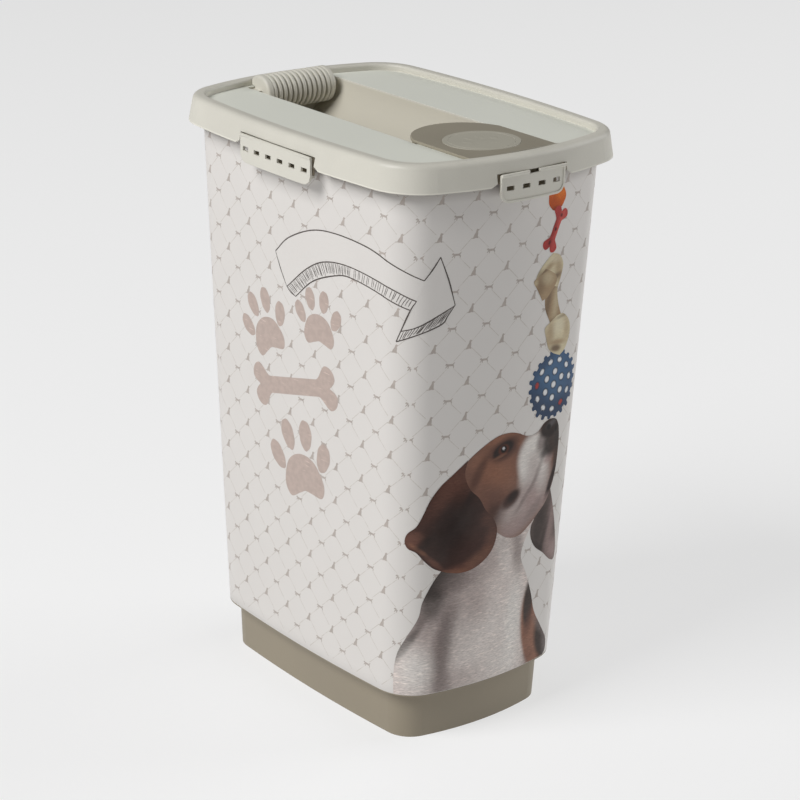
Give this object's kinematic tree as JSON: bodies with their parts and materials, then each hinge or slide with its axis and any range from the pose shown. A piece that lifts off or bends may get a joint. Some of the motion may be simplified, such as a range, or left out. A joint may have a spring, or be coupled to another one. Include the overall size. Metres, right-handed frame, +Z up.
{
  "type": "pet food bin",
  "caption": "Tall tapered pet food storage bin with a printed wall, a clip-on lid, a rocking pour flap and a ribbed grip.",
  "frame": {"origin": "on the floor under the middle of the bin", "axes": "+Z up, +Y towards the ribbed grip, -Y towards the pour flap, X across the bin"},
  "size_m": [0.2976, 0.4086, 0.6056],
  "materials": {
    "taupe_plastic": "fine matte moulding, warm taupe",
    "printed_film": "satin in-mould film with a printed pattern",
    "lid_plastic": "smooth satin moulding, light grey beige",
    "seal_rubber": "soft translucent grey",
    "flap_plastic": "fine matte moulding, dark taupe",
    "badge_plastic": "satin, slightly lighter than the flap"
  },
  "bodies": {
    "bin": {"tub": "taupe_plastic", "wall_wrap": "printed_film"},
    "lid": {"lid": "lid_plastic", "lid_seal": "seal_rubber", "grip": "lid_plastic"},
    "flap": {"pour_flap": "flap_plastic", "flap_badge": "badge_plastic"},
    "left_clip": {"left_latch": "lid_plastic"},
    "right_clip": {"right_latch": "lid_plastic"},
    "front_clip": {"front_latch": "lid_plastic"},
    "back_clip": {"back_latch": "lid_plastic"}
  },
  "joints": [
    {"name": "lid_lift", "type": "slide", "parent": "bin", "child": "lid", "axis": [0, 0, 1], "range_m": [0, 0.2]},
    {"name": "flap_rock", "type": "hinge", "parent": "lid", "child": "flap", "pos_m": [0, -0.09, 0.5895], "axis": [-1, 0, 0], "range_deg": [0, 75]},
    {"name": "left_latch_swing", "type": "hinge", "parent": "lid", "child": "left_clip", "pos_m": [-0.1472, 0, 0.5838], "axis": [0, 1, 0], "range_deg": [0, 110]},
    {"name": "right_latch_swing", "type": "hinge", "parent": "lid", "child": "right_clip", "pos_m": [0.1472, 0, 0.5838], "axis": [0, -1, 0], "range_deg": [0, 110]},
    {"name": "front_latch_swing", "type": "hinge", "parent": "lid", "child": "front_clip", "pos_m": [0, -0.2024, 0.5838], "axis": [-1, 0, 0], "range_deg": [0, 110]},
    {"name": "back_latch_swing", "type": "hinge", "parent": "lid", "child": "back_clip", "pos_m": [0, 0.2024, 0.5838], "axis": [1, 0, 0], "range_deg": [0, 110]}
  ]
}
